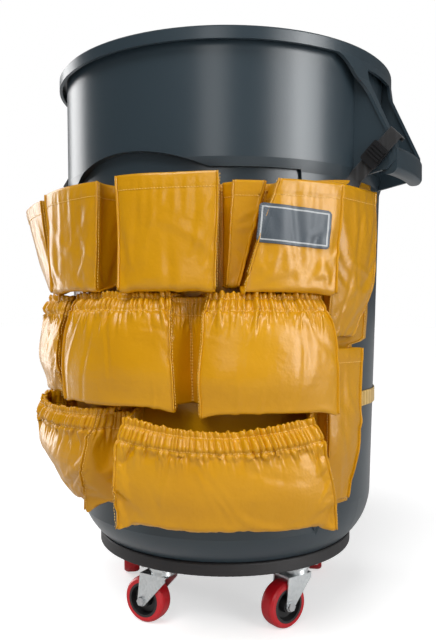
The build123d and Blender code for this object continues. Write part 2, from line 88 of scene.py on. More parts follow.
def noise(nodes, links, vector, scale, detail=3.0, roughness=0.55):
    texture = nodes.new("ShaderNodeTexNoise")
    texture.inputs["Scale"].default_value = scale
    texture.inputs["Detail"].default_value = detail
    texture.inputs["Roughness"].default_value = roughness
    links.new(vector, texture.inputs["Vector"])
    return texture.outputs["Fac"]


def ramp(nodes, links, value, stops):
    node = nodes.new("ShaderNodeValToRGB")
    elements = node.color_ramp.elements
    while len(elements) < len(stops):
        elements.new(0.5)
    for element, (place, colour) in zip(elements, stops):
        element.position = place
        element.color = (*colour, 1)
    links.new(value, node.inputs["Fac"])
    return node.outputs["Color"]


def spread(nodes, links, value, low, high):
    """Maps a 0 to 1 value to low to high."""
    node = nodes.new("ShaderNodeMapRange")
    node.inputs["To Min"].default_value = low
    node.inputs["To Max"].default_value = high
    links.new(value, node.inputs["Value"])
    return node.outputs["Result"]


def bump(nodes, links, height, strength, distance, under=None):
    node = nodes.new("ShaderNodeBump")
    node.inputs["Strength"].default_value = strength
    node.inputs["Distance"].default_value = distance
    links.new(height, node.inputs["Height"])
    if under is not None:
        links.new(under, node.inputs["Normal"])
    return node.outputs["Normal"]


def object_vector(nodes):
    return nodes.new("ShaderNodeTexCoord").outputs["Object"]


def uv_vector(nodes):
    return nodes.new("ShaderNodeTexCoord").outputs["UV"]


def weave(nodes, links, vector, pitch, turn=0.0):
    """Height of a plain weave of that pitch: two crossed rows of threads."""
    threads = []
    for axis in ("X", "Y"):
        wave = nodes.new("ShaderNodeTexWave")
        wave.bands_direction = axis
        wave.inputs["Scale"].default_value = 1 / (pitch * 20)
        mapping = nodes.new("ShaderNodeMapping")
        mapping.inputs["Rotation"].default_value = (0, 0, turn)
        links.new(vector, mapping.inputs["Vector"])
        links.new(mapping.outputs["Vector"], wave.inputs["Vector"])
        threads.append(wave.outputs["Fac"])
    node = nodes.new("ShaderNodeMath")
    node.operation = "MULTIPLY"
    links.new(threads[0], node.inputs[0])
    links.new(threads[1], node.inputs[1])
    return node.outputs["Value"]


# ---------------------------------------------------------------- materials
def vinyl_material():
    """Yellow vinyl-coated fabric: glossy, faintly crinkled, with the base cloth just showing through."""
    material, nodes, links, shader = new_material("vinyl")
    place, cloth = object_vector(nodes), uv_vector(nodes)
    tone = noise(nodes, links, place, 9.0, 4.0)
    colour = ramp(nodes, links, tone, [(0.25, (0.56, 0.252, 0.0004)), (0.75, (0.65, 0.308, 0.0012))])
    links.new(colour, shader.inputs["Base Color"])
    rough = noise(nodes, links, place, 30.0, 5.0)
    links.new(spread(nodes, links, rough, 0.26, 0.40), shader.inputs["Roughness"])
    crinkle = noise(nodes, links, place, 34.0, 3.0, 0.55)
    fine = noise(nodes, links, place, 130.0, 3.0, 0.6)
    grain = weave(nodes, links, cloth, 0.0011)
    normal = bump(nodes, links, crinkle, 0.30, 0.006)
    normal = bump(nodes, links, fine, 0.18, 0.0012, normal)
    links.new(bump(nodes, links, grain, 0.10, 0.0002, normal), shader.inputs["Normal"])
    shader.inputs["Specular IOR Level"].default_value = 0.32
    shader.inputs["Coat Weight"].default_value = 0.14
    shader.inputs["Coat Roughness"].default_value = 0.14
    return material


def moulded_material(name, low, high, roughness, grain_scale, grain):
    """Moulded plastic: a little uneven in colour and gloss, with a fine texture."""
    material, nodes, links, shader = new_material(name)
    place = object_vector(nodes)
    tone = noise(nodes, links, place, 6.0, 5.0)
    links.new(ramp(nodes, links, tone, [(0.1, low), (0.9, high)]), shader.inputs["Base Color"])
    rough = noise(nodes, links, place, 5.0, 4.0)
    links.new(spread(nodes, links, rough, *roughness), shader.inputs["Roughness"])
    fine = noise(nodes, links, place, grain_scale, 2.0)
    links.new(bump(nodes, links, fine, grain, 0.0006), shader.inputs["Normal"])
    return material


def zinc_material(name, low, high, roughness):
    """Zinc-plated steel: fine brushed streaks and faint spangle."""
    material, nodes, links, shader = new_material(name)
    place = object_vector(nodes)
    cells = nodes.new("ShaderNodeTexVoronoi")
    cells.inputs["Scale"].default_value = 240.0
    links.new(place, cells.inputs["Vector"])
    colour = ramp(nodes, links, cells.outputs["Color"], [(0.0, low), (1.0, high)])
    links.new(colour, shader.inputs["Base Color"])
    rough = noise(nodes, links, place, 90.0, 6.0)
    links.new(spread(nodes, links, rough, *roughness), shader.inputs["Roughness"])
    fine = noise(nodes, links, place, 500.0)
    links.new(bump(nodes, links, fine, 0.15, 0.0003), shader.inputs["Normal"])
    shader.inputs["Metallic"].default_value = 1.0
    return material


def webbing_material(name, low, high, pitch):
    """Woven strap: crossed threads with a dull sheen."""
    material, nodes, links, shader = new_material(name)
    place = object_vector(nodes)
    threads = weave(nodes, links, place, pitch, 0.7)
    links.new(ramp(nodes, links, threads, [(0.1, low), (0.9, high)]), shader.inputs["Base Color"])
    links.new(spread(nodes, links, noise(nodes, links, place, 60.0), 0.55, 0.8), shader.inputs["Roughness"])
    links.new(bump(nodes, links, threads, 0.5, 0.0006), shader.inputs["Normal"])
    shader.inputs["Sheen Weight"].default_value = 0.25
    return material


MATERIALS = {
    "vinyl": vinyl_material(),
    "container": moulded_material(
        "container_plastic", (0.027, 0.042, 0.053), (0.030, 0.046, 0.058), (0.27, 0.285), 420.0, 0.10
    ),
    "dolly": moulded_material(
        "dolly_plastic", (0.012, 0.011, 0.012), (0.019, 0.017, 0.018), (0.5, 0.68), 300.0, 0.25
    ),
    "hub": moulded_material(
        "hub_plastic", (0.008, 0.008, 0.009), (0.014, 0.014, 0.015), (0.35, 0.5), 300.0, 0.2
    ),
    "buckle": moulded_material(
        "buckle_plastic", (0.006, 0.006, 0.007), (0.011, 0.011, 0.012), (0.28, 0.4), 260.0, 0.15
    ),
    "tread": moulded_material(
        "tread_polyurethane", (0.50, 0.004, 0.010), (0.62, 0.007, 0.016), (0.26, 0.4), 120.0, 0.2
    ),
    "zinc": zinc_material("zinc_plate", (0.60, 0.63, 0.64), (0.74, 0.77, 0.78), (0.24, 0.4)),
    "bolt": zinc_material("bolt_steel", (0.48, 0.49, 0.50), (0.60, 0.61, 0.62), (0.28, 0.45)),
    "bush": zinc_material("bush_steel", (0.30, 0.27, 0.22), (0.40, 0.37, 0.31), (0.35, 0.5)),
    "webbing_black": webbing_material("webbing_black", (0.005, 0.005, 0.006), (0.022, 0.022, 0.024), 0.0016),
    "webbing_yellow": webbing_material("webbing_yellow", (0.62, 0.36, 0.05), (0.92, 0.66, 0.22), 0.0016),
    "elastic": webbing_material("elastic_band", (0.50, 0.24, 0.02), (0.74, 0.42, 0.06), 0.0014),
    "label": moulded_material("label_back", (0.70, 0.70, 0.66), (0.78, 0.78, 0.74), (0.2, 0.3), 200.0, 0.1),
}


def dress_cad_nodes():
    slots = {entry["node"]: entry["material_slot"] for entry in frame["record"]["subparts"]}
    for name, node in NODES.items():
        node.data.materials.clear()
        node.data.materials.append(MATERIALS[slots[name]])


dress_cad_nodes()


# ---------------------------------------------------------------- mesh helpers
def polar(azimuth, radius, z):
    a = np.radians(azimuth)
    return np.stack([radius * np.sin(a), -radius * np.cos(a), z + 0 * a], -1)


def mesh_object(name, points, faces, material, smooth=True):
    mesh = bpy.data.meshes.new(name)
    mesh.from_pydata([tuple(p) for p in np.asarray(points, float)], [], faces)
    mesh.validate()
    mesh.polygons.foreach_set("use_smooth", [smooth] * len(mesh.polygons))
    mesh.materials.append(material)
    piece = bpy.data.objects.new(name, mesh)
    bpy.context.scene.collection.objects.link(piece)
    return piece


def grid_faces(columns, rows):
    faces = []
    for j in range(rows - 1):
        for i in range(columns - 1):
            a = j * columns + i
            faces.append((a, a + 1, a + columns + 1, a + columns))
    return faces


def grid_object(name, grid, material):
    """A sheet from a (rows, columns, 3) grid, with its UV in metres along the cloth."""
    rows, columns = grid.shape[:2]
    piece = mesh_object(name, grid.reshape(-1, 3), grid_faces(columns, rows), material)
    across = np.concatenate([[0], np.cumsum(np.linalg.norm(np.diff(grid[rows // 2], axis=0), axis=1))])
    up = np.concatenate([[0], np.cumsum(np.linalg.norm(np.diff(grid[:, columns // 2], axis=0), axis=1))])
    uv = np.stack(np.meshgrid(across, up), -1).reshape(-1, 2)
    layer = piece.data.uv_layers.new(name="cloth")
    index = np.zeros(len(piece.data.loops), int)
    piece.data.loops.foreach_get("vertex_index", index)
    layer.data.foreach_set("uv", uv[index].ravel())
    return piece


def grid_normals(grid):
    along = np.gradient(grid, axis=1)
    up = np.gradient(grid, axis=0)
    normal = np.cross(along, up)
    return normal / np.maximum(np.linalg.norm(normal, axis=-1, keepdims=True), 1e-12)


def thicken(piece, thickness):
    """Gives a sheet its thickness, inwards from its face."""
    solid = piece.modifiers.new("thickness", "SOLIDIFY")
    solid.thickness = thickness
    solid.offset = -1
    apply_modifiers(piece)


def apply_modifiers(piece):
    graph = bpy.context.evaluated_depsgraph_get()
    mesh = bpy.data.meshes.new_from_object(piece.evaluated_get(graph))
    piece.modifiers.clear()
    piece.data = mesh


def smooth_noise(rng, rows, columns, across, up):
    """Smooth noise about 0 on a grid, with that many waves across and up."""
    lattice = rng.normal(size=(int(up) + 4, int(across) + 4))
    y = np.linspace(0, up, rows)
    x = np.linspace(0, across, columns)

    def weights(value):
        cell = np.floor(value).astype(int)
        f = value - cell
        return cell, np.stack(
            [(1 - f) ** 3, 3 * f**3 - 6 * f**2 + 4, -3 * f**3 + 3 * f**2 + 3 * f + 1, f**3], 0
        ) / 6

    cy, wy = weights(y)
    cx, wx = weights(x)
    result = np.zeros((rows, columns))
    for j in range(4):
        for i in range(4):
            result += wy[j][:, None] * wx[i][None, :] * lattice[cy + j][:, cx + i]
    return result * 1.6


# ---------------------------------------------------------------- cloth helpers
FABRIC = 0.0011
CELL = 0.0045
FINE_CELL = 0.0017
PANEL_OUT = 0.0026
BOTTOM_EDGE = 0.007
GUSSET_FOLD = 0.005
SECTION_BLUR = 0.022
STITCH_LENGTH, STITCH_GAP, STITCH_R = 0.0032, 0.0013, 0.00045
FRAMES = 14
# How a sheet settles: how much it is cut too large, pressure, frames, and the most that a point may move.
SETTLE_GATHERED = (0.022, 0.3, FRAMES, 0.007)
SETTLE_HEMMED = (0.004, 0.08, FRAMES, 0.003)
# Gathers: the folds' usual width, their height, and how far down they reach.
FOLDS = (0.0088, 0.0084, 0.017)
DRAGS = (0.026, 0.0042, 0.026)
RUFFLE = (0.0086, 0.0026, 1.0)
BRIDGE_FOLDS = (0.0080, 0.0050, 0.020)


def read_wall():
    """The container's tapered wall, as heights and outer radii, read from the inside of the apron panel."""
    co = np.array([v.co for v in NODES["apron_panel"].data.vertices])
    radius = np.hypot(co[:, 0], co[:, 1])
    level = np.round(co[:, 2], 4)
    heights = np.unique(level)
    return heights, np.array([radius[level == z].min() for z in heights])


WALL = read_wall()


def wall_radius(z):
    """Radius of the apron panel's inner face, next to the container's wall."""
    return np.interp(z, *WALL)


def cad_outline(node, levels=17):
    """A pocket's CAD sections, cut through its mesh: z, left and right azimuth, left and right reach."""
    mesh = NODES[node].data
    co = np.array([v.co for v in mesh.vertices])
    ends = co[np.array([e.vertices for e in mesh.edges])]
    low, high = co[:, 2].min(), co[:, 2].max()
    sections = []
    for z in np.linspace(low + 0.004, high - 0.001, levels):
        z0, z1 = ends[:, 0, 2], ends[:, 1, 2]
        crossed = ends[(z0 - z) * (z1 - z) < 0]
        f = ((z - crossed[:, 0, 2]) / (crossed[:, 1, 2] - crossed[:, 0, 2]))[:, None]
        cut = crossed[:, 0] * (1 - f) + crossed[:, 1] * f
        radius = np.hypot(cut[:, 0], cut[:, 1])
        azimuth = np.degrees(np.arctan2(cut[:, 0], -cut[:, 1]))
        left, right = azimuth.min(), azimuth.max()
        near_left = azimuth < left + 0.35 * (right - left)
        near_right = azimuth > right - 0.35 * (right - left)
        sections.append((z, left, right, radius[near_left].max(), radius[near_right].max()))
    sections = np.array(sections)
    near = np.exp(-(((sections[:, None, 0] - sections[None, :, 0]) / SECTION_BLUR) ** 2))
    near /= near.sum(1, keepdims=True)
    slope = (sections[-1, 1:] - sections[0, 1:]) / (sections[-1, 0] - sections[0, 0])
    line = sections[0, 1:] + (sections[:, :1] - sections[0, 0]) * slope
    sections[:, 1:] = line + near @ (sections[:, 1:] - line)
    return sections


def run_along(line):
    """Distance along a line of points, from its first."""
    return np.concatenate([[0], np.cumsum(np.linalg.norm(np.diff(line, axis=0), axis=1))])


def curve_through(values, count):
    """Catmull-Rom samples through rows of values, that many in all."""
    ends = np.concatenate([[2 * values[0] - values[1]], values, [2 * values[-1] - values[-2]]])
    at = np.linspace(0, len(values) - 1, count)
    cell = np.minimum(at.astype(int), len(values) - 2)
    f = (at - cell).reshape(-1, *[1] * (values.ndim - 1))
    a, b, c, d = (ends[cell + k] for k in range(4))
    return 0.5 * (2 * b + (c - a) * f + (2 * a - 5 * b + 4 * c - d) * f**2 + (3 * b - a - 3 * c + d) * f**3)


def refine(grid, rows, columns):
    tall = curve_through(grid, rows)
    return curve_through(tall.transpose(1, 0, 2), columns).transpose(1, 0, 2)


def settle(piece, hold, grow, pressure, frames, cap):
    """Lets a sheet wrinkle by cloth simulation: held where hold is 1, and cut a little large."""
    group = piece.vertex_groups.new(name="hold")
    for i, weight in enumerate(hold):
        if weight > 0:
            group.add([i], float(weight), "REPLACE")
    before = np.array([v.co for v in piece.data.vertices])
    cloth = piece.modifiers.new("cloth", "CLOTH")
    setting = cloth.settings
    setting.quality = 6
    setting.mass = 0.4
    setting.tension_stiffness = setting.compression_stiffness = 22
    setting.shear_stiffness = 9
    setting.bending_stiffness = 4.0
    setting.tension_damping = setting.compression_damping = 12
    setting.air_damping = 3
    setting.vertex_group_mass = "hold"
    setting.shrink_min = -grow
    setting.use_pressure = True
    setting.uniform_pressure_force = pressure
    setting.effector_weights.gravity = 0.4
    cloth.collision_settings.use_self_collision = False
    cloth.point_cache.frame_start, cloth.point_cache.frame_end = 1, frames
    scene = bpy.context.scene
    for step in range(1, frames + 1):
        scene.frame_set(step)
    graph = bpy.context.evaluated_depsgraph_get()
    after = np.array([v.co for v in piece.evaluated_get(graph).data.vertices])
    scene.frame_set(1)
    piece.modifiers.remove(cloth)
    move = after - before
    far = np.linalg.norm(move, axis=1, keepdims=True)
    return before + move * np.minimum(1, cap / np.maximum(far, 1e-9))


def stitch_line(line, normals):
    """Short stitches of thread along a line of points, as (points, faces)."""
    run = run_along(line)
    points, faces = [], []
    for start in np.arange(0.002, run[-1] - STITCH_LENGTH, STITCH_LENGTH + STITCH_GAP):
        at = start + np.array([0, 0.15, 0.5, 0.85, 1]) * STITCH_LENGTH
        centre = np.stack([np.interp(at, run, line[:, k]) for k in range(3)], -1)
        out = np.stack([np.interp(at, run, normals[:, k]) for k in range(3)], -1)
        out /= np.linalg.norm(out, axis=1, keepdims=True)
        along = np.gradient(centre, axis=0)
        along /= np.linalg.norm(along, axis=1, keepdims=True)
        aside = np.cross(out, along)
        swell = np.array([0.25, 0.85, 1.0, 0.85, 0.25]) * STITCH_R
        lift = np.array([-0.4, 0.5, 0.9, 0.5, -0.4]) * STITCH_R
        base = len(points)
        for c, o, s, r, h in zip(centre, out, aside, swell, lift):
            points += [c + o * (h + r * cos(a)) + s * (r * 1.1 * sin(a)) for a in np.arange(6) * pi / 3]
        for k in range(4):
            for i in range(6):
                a, b = base + 6 * k + i, base + 6 * k + (i + 1) % 6
                faces.append((a, b, b + 6, a + 6))
        faces.append(tuple(base + i for i in reversed(range(6))))
        faces.append(tuple(base + 24 + i for i in range(6)))
    return points, faces


def thread_object(name, lines, material):
    points, faces = [], []
    for line, normals in lines:
        new_points, new_faces = stitch_line(line, normals)
        faces += [tuple(i + len(points) for i in f) for f in new_faces]
        points += new_points
    return mesh_object(name, points, faces, material)


def ribbon(name, line, across, out, width, thickness, material):
    """A flat tape with rounded edges along a line, its width along across and its face towards out."""
    profile = []
    for x, y in ((-1, 0), (-0.96, 0.75), (-0.8, 1), (0, 1), (0.8, 1), (0.96, 0.75), (1, 0)):
        profile.append((x, y))
    profile += [(x, -y) for x, y in reversed(profile[1:-1])]
    count = len(profile)
    points, faces = [], []
    for c, a, o in zip(line, across, out):
        points += [c + a * (x * width / 2) + o * (y * thickness / 2) for x, y in profile]
    for k in range(len(line) - 1):
        for i in range(count):
            a, b = k * count + i, k * count + (i + 1) % count
            faces.append((a, b, b + count, a + count))
    faces.append(tuple(reversed(range(count))))
    faces.append(tuple(len(points) - count + i for i in range(count)))
    return mesh_object(name, points, faces, material)


def unit(vectors):
    return vectors / np.maximum(np.linalg.norm(vectors, axis=-1, keepdims=True), 1e-12)


def thread_material():
    material, nodes, links, shader = new_material("thread")
    tone = noise(nodes, links, object_vector(nodes), 900.0)
    colour = ramp(nodes, links, tone, [(0.3, (0.80, 0.46, 0.05)), (0.7, (0.92, 0.66, 0.20))])
    links.new(colour, shader.inputs["Base Color"])
    links.new(spread(nodes, links, tone, 0.5, 0.7), shader.inputs["Roughness"])
    return material


THREAD = thread_material()


# ---------------------------------------------------------------- the apron's pockets
HEM = 0.022
CASING = 0.020
FRILL = 0.008
SEAM_FIN = 0.0036
POCKETS = {
    # node: (mouth, belly, point of the bottom corners, rise of the mouth's ends, dip of its middle,
    #        lift of the bottom's left end, lift of the gussets' bottom at the wall,
    #        how far in the front corners stand: left and right at the top, left and right at the bottom)
    "pocket_top_far_left": ("hem", 0.003, 0.003, 0.0, 0.0, 0.010, 0.010, (0.0, 0.0, 0.0, 0.0)),
    "pocket_top_left": ("hem", 0.005, 0.004, 0.0, 0.0, 0.0, 0.010, (0.002, -0.003, 0.002, -0.005)),
    "pocket_top_centre": ("hem", 0.005, 0.005, 0.0, 0.0, 0.0, 0.010, (0.006, 0.0, 0.004, 0.0)),
    "pocket_top_narrow": ("hem", 0.0, 0.0, 0.0, 0.0, 0.0, 0.004, (0.017, 0.0, 0.008, 0.0)),
    "pocket_top_right": ("hem", 0.004, 0.005, 0.0, 0.0, 0.0, 0.010, (0.0, 0.0, 0.0, 0.0)),
    "pocket_side_upper": ("hem", 0.002, 0.0, 0.0, 0.003, 0.0, 0.010, (0.0, 0.0, 0.0, 0.0)),
    "pocket_middle_left": ("elastic", 0.009, 0.006, 0.007, 0.0, 0.016, 0.012, (0.004, 0.0, 0.0, 0.0)),
    "pocket_middle_centre": (
        "elastic", 0.008, 0.006, 0.006, 0.0, 0.004, 0.012, (0.016, 0.006, 0.012, -0.002)
    ),
    "pocket_middle_right": ("elastic", 0.009, 0.008, 0.005, 0.001, 0.0, 0.012, (0.022, 0.012, 0.015, 0.0)),
    "pocket_bottom_left": ("elastic", 0.009, 0.014, 0.008, 0.010, 0.058, 0.032, (0.004, 0.030, 0.0, 0.090)),
    "pocket_bottom_right": ("elastic", 0.008, 0.012, 0.008, 0.028, 0.0, 0.014, (0.012, 0.040, -0.003, 0.002)),
    "pocket_side_lower": ("hem", 0.002, 0.0, 0.0, 0.0, 0.0, 0.010, (0.0, 0.0, 0.0, 0.0)),
}
FINISHED = {}


def plan_shape(half, depth):
    """A pocket seen from above, from its left seam round its front to its right, as shares of half and depth.

    Also the weights of a left and of a right inset, in the same order, and the columns of each gusset.
    """
    side = max(3, round(depth / CELL))
    front = max(6, round(2 * half / CELL))
    out = np.linspace(0, 1, side + 1)
    fold = min(GUSSET_FOLD / half, 0.3) * np.sin(pi * out) ** 1.5
    across = np.linspace(-1, 1, front + 1)[1:-1]
    aside = np.concatenate([-1 + fold, across, (1 - fold)[::-1]])
    forward = np.concatenate([out, np.ones(front - 1), out[::-1]])
    left_share = np.concatenate([out, 0.5 - 0.5 * across, 0 * out])
    return aside, forward, left_share, left_share[::-1], side


def pocket_base(node, belly, point, rise, dip, lift_left, lift_wall, insets):
    """A pocket's cloth as a coarse grid: left seam, front, right seam, and from its bottom to its top."""
    sections = cad_outline(node)
    low, high = sections[0, 0] - 0.004, sections[-1, 0] + 0.001

    def at(z, column):
        return np.interp(z, sections[:, 0], sections[:, column])

    middle = 0.5 * (low + high)
    half = radians(0.5 * (at(middle, 2) - at(middle, 1))) * at(middle, 3)
    depth = at(middle, 3) - wall_radius(middle)
    aside, out, left_share, right_share, side = plan_shape(half, depth)
    columns = len(aside)

    # Up the middle: back to front along the underside, round the bottom edge, and up the face.
    corner = min(BOTTOM_EDGE, 0.4 * depth)
    turn = np.linspace(0, pi / 2, 12)
    under = [(x, low + 0.3 * corner * (1 - x / (depth - corner))) for x in np.linspace(0, depth - corner, 8)]
    bend = [(depth - corner + corner * sin(a), low + corner * (1 - cos(a))) for a in turn[1:]]
    face = [(depth, z) for z in np.linspace(low + corner, high, 60)[1:]]
    profile = np.array(under + bend + face)
    profile_run = run_along(profile)
    rows = int(profile_run[-1] / CELL) + 1
    even_up = np.linspace(0, profile_run[-1], rows)
    share = (np.interp(even_up, profile_run, profile[:, 0]) / depth)[:, None]
    z = np.interp(even_up, profile_run, profile[:, 1])

    t = np.linspace(0, 1, columns)
    up = ((z - low) / (high - low)).clip(0, 1)[:, None]
    bow = np.sin(pi * t)[None, :]
    forward = out[None, :] * share
    near_corner = np.exp(-(((1 - np.abs(aside)) * half / 0.018) ** 2)) * forward**4
    z_grid = z[:, None] + rise * up**3 - dip * up**2 * bow**1.3
    z_grid = z_grid - point * near_corner * (1 - up) ** 10
    z_grid = z_grid + lift_left * (0.5 - 0.5 * aside) * (1 - up) ** 1.5
    z_grid = z_grid + lift_wall * (1 - forward) * (1 - up) ** 3
    az = 0.5 * (at(z, 1) + at(z, 2))[:, None] + 0.5 * (at(z, 2) - at(z, 1))[:, None] * aside[None, :]
    left_in = insets[2] + (insets[0] - insets[2]) * up
    right_in = insets[3] + (insets[1] - insets[3]) * up
    az = az + np.degrees((left_in * left_share - right_in * right_share) * share / at(middle, 3))
    across = (0.5 + 0.5 * aside)[None, :]
    reach = at(z, 3)[:, None] * (1 - across) + at(z, 4)[:, None] * across
    seat = wall_radius(z)[:, None] + PANEL_OUT
    level = even_up / even_up[-1]
    swell = belly * (1 - aside**2).clip(0, 1) ** 0.6 * np.sin(pi * level**1.2)[:, None] ** 0.9
    radius = seat + (reach - seat) * forward + swell
    front_row = int(np.argmax(share[:, 0] > 0.98))
    return polar(az, radius, z_grid), (side, columns - 1 - side), front_row


def gathers(rng, s, d, girth, pitch, height, reach):
    """Puckered folds side by side, sharp in their valleys, each of its own width, height, lean and length."""
    gaps = pitch * rng.uniform(0.5, 1.7, int(1.4 * girth / pitch) + 8)
    valleys = np.cumsum(gaps) - 3 * pitch
    tall = height * rng.uniform(0.3, 1.15, len(gaps)) * (gaps / pitch) ** 0.5
    long = reach * rng.uniform(0.25, 1.4, len(gaps))
    lean = rng.normal(0, 0.28, len(gaps))
    place = s - np.interp(s, valleys, lean) * d
    cell = np.searchsorted(valleys, place).clip(1, len(valleys) - 1) - 1
    phase = ((place - valleys[cell]) / gaps[cell + 1]).clip(0, 1)
    return tall[cell] * np.sin(pi * phase) ** 0.8 * np.exp(-((d / long[cell]) ** 2))


def creases(rng, s, u, girth, height, count, tall):
    """A few soft straight folds across a face, each at its own slope."""
    total = np.zeros(np.broadcast(s, u).shape)
    for _ in range(count):
        cx, cy = rng.uniform(0.12, 0.88) * girth, rng.uniform(0.1, 0.75) * height
        slope = rng.normal(0, 0.9) + pi / 2
        long, wide = rng.uniform(0.03, 0.08), rng.uniform(0.004, 0.009)
        along = (s - cx) * cos(slope) + (u - cy) * sin(slope)
        aside = -(s - cx) * sin(slope) + (u - cy) * cos(slope) + 3.0 * along**2 * rng.normal(0, 1)
        bulge = np.exp(-((aside / wide) ** 2)) - 0.5 * np.exp(-((aside / (2.2 * wide)) ** 2))
        total += tall * rng.uniform(0.4, 1.0) * rng.choice([-1, 1]) * bulge * np.exp(-((along / long) ** 2))
    return total


def seam_lines(grid, normal, edges, front_row):
    """The standing seams between the front and its side gussets, each as (line, across, out)."""
    lines = []
    for column in edges:
        line = grid[front_row:, column]
        out = unit(normal[front_row:, column])
        aside = unit(np.cross(unit(np.gradient(line, axis=0)), out))
        lines.append((line, aside, out))
    return lines


def make_pocket(node, seed, mouth, *shape):
    rng = np.random.default_rng(seed)
    gathered = mouth == "elastic"
    grid, edges, front_row = pocket_base(node, *shape)
    rows, columns = grid.shape[:2]
    name = node.replace("pocket_", "")
    loose = grid_object("loose_" + name, grid, MATERIALS["vinyl"])
    up = run_along(grid[:, columns // 2])
    hold = np.zeros((rows, columns))
    hold[:, [0, -1]] = 1
    hold[[0, 1], :] = 1
    hold[:, list(edges)] = np.maximum(hold[:, list(edges)], 0.75)
    hold[up > up[-1] - (FRILL + CASING if gathered else HEM * 0.4), :] = 1
    how = SETTLE_GATHERED if gathered else SETTLE_HEMMED
    grid = settle(loose, hold.ravel(), *how).reshape(rows, columns, 3)
    bpy.data.objects.remove(loose)

    # A finer grid carries the gathers and creases.
    fine = FINE_CELL if gathered else CELL * 0.6
    scale = CELL / fine
    new_rows, new_columns = int((rows - 1) * CELL / (fine * 1.3)) + 1, int((columns - 1) * scale) + 1
    front_row = int(front_row * (new_rows - 1) / (rows - 1))
    edges = [round(e * (new_columns - 1) / (columns - 1)) for e in edges]
    grid = refine(grid, new_rows, new_columns)
    rows, columns = new_rows, new_columns
    up = run_along(grid[:, columns // 2])
    height = up[-1]
    girth = run_along(grid[rows // 2])[-1]
    s = np.linspace(0, girth, columns)[None, :]
    u = up[:, None]
    from_top = height - up
    t = s / girth
    free = np.sin(pi * t) ** 0.4 * np.sin(pi * (u / height).clip(0, 0.5)) ** 0.4
    offset = free * 0.0016 * smooth_noise(rng, rows, columns, girth / 0.045, height / 0.04)
    offset += free * creases(rng, s, u, girth, height, 5 + int(girth / 0.05), 0.0022)
    puckers = smooth_noise(rng, rows, columns, girth / 0.010, height / 0.012)
    offset += 0.0011 * np.sin(pi * t) ** 0.4 * np.exp(-((u / 0.045) ** 2)) * puckers
    if gathered:
        below = (from_top - FRILL - CASING).clip(0, None)[:, None]
        sides = np.sin(pi * t) ** 0.2
        folds = gathers(rng, s, below, girth, *FOLDS)
        drags = gathers(rng, s, below, girth, *DRAGS) * (1 - np.exp(-below / 0.006))
        squeeze = np.ones((rows, 1))
        for d in (FRILL, FRILL + CASING):
            squeeze *= 1 - 0.5 * np.exp(-(((from_top[:, None] - d) / 0.0026) ** 2))
        offset = offset * (1 - np.exp(-below / 0.02)) + sides * (folds * squeeze + drags)
    normal = grid_normals(grid)
    grid = grid + normal * offset[..., None]
    if gathered:
        ruffle = gathers(rng, s[0], 0 * s[0], girth, *RUFFLE)
        grid[:, :, 2] += ruffle[None, :] * np.exp(-from_top / 0.006)[:, None]
    normal = grid_normals(grid)

    # The mouth's edge is folded down inside and stitched.
    depth = FRILL + CASING if gathered else HEM
    stitched = [FRILL, FRILL + CASING] if gathered else [HEM]
    raised = 0.0007 * (from_top < depth)
    for d in stitched:
        raised = raised - 0.0008 * np.exp(-(((from_top - d) / 0.0020) ** 2))
    outer = grid + normal * raised[:, None, None]
    fold = outer[-1] + np.array([0, 0, 0.0008]) - normal[-1] * 0.0012
    inside_rows = [r for r in range(rows - 1, -1, -1) if from_top[r] <= depth]
    back = [grid[r] - normal[r] * 0.0026 for r in inside_rows]
    whole = np.concatenate([outer, fold[None], np.array(back)], 0)
    piece = grid_object("cloth_" + name, whole, MATERIALS["vinyl"])
    thicken(piece, FABRIC)

    lines = []
    for d in stitched:
        row = int(np.argmin(np.abs(from_top - d)))
        lines.append((outer[row] + normal[row] * 0.0002, normal[row]))
    seams = seam_lines(outer, normal, edges, front_row)
    for line, aside, out in seams:
        inward = -1 if line is seams[0][0] else 1
        lines.append((line + aside * inward * 0.0036 + out * 0.0003, out))
    thread = thread_object("thread_" + name, lines, THREAD)
    thread.parent = piece
    for side, (line, aside, out) in zip(("left", "right"), seams):
        fin = ribbon(f"seam_{name}_{side}", line + out * SEAM_FIN * 0.35, out, aside, SEAM_FIN, 0.0018,
                     MATERIALS["vinyl"])
        fin.parent = piece
    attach(piece, "container")
    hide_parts(node)
    if gathered:
        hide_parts(node.replace("pocket", "elastic"))
    FINISHED[name] = (outer, normal, up)


for number, (pocket_node, style) in enumerate(POCKETS.items()):
    make_pocket(pocket_node, 11 + number, *style)


# ---------------------------------------------------------------- cloth between two gathered pockets
BRIDGES = {
    # name: (left pocket, right pocket, height of its foot)
    "middle": ("pocket_middle_centre", "pocket_middle_right", 0.384),
    "far": ("pocket_middle_left", "pocket_middle_centre", 0.392),
    "bottom": ("pocket_bottom_left", "pocket_bottom_right", 0.236),
}
BRIDGE_SHARE = 0.75  # share of the pockets' depth that a bridge's ends reach
BRIDGE_LAP = 0.9  # degrees that a bridge laps over each pocket


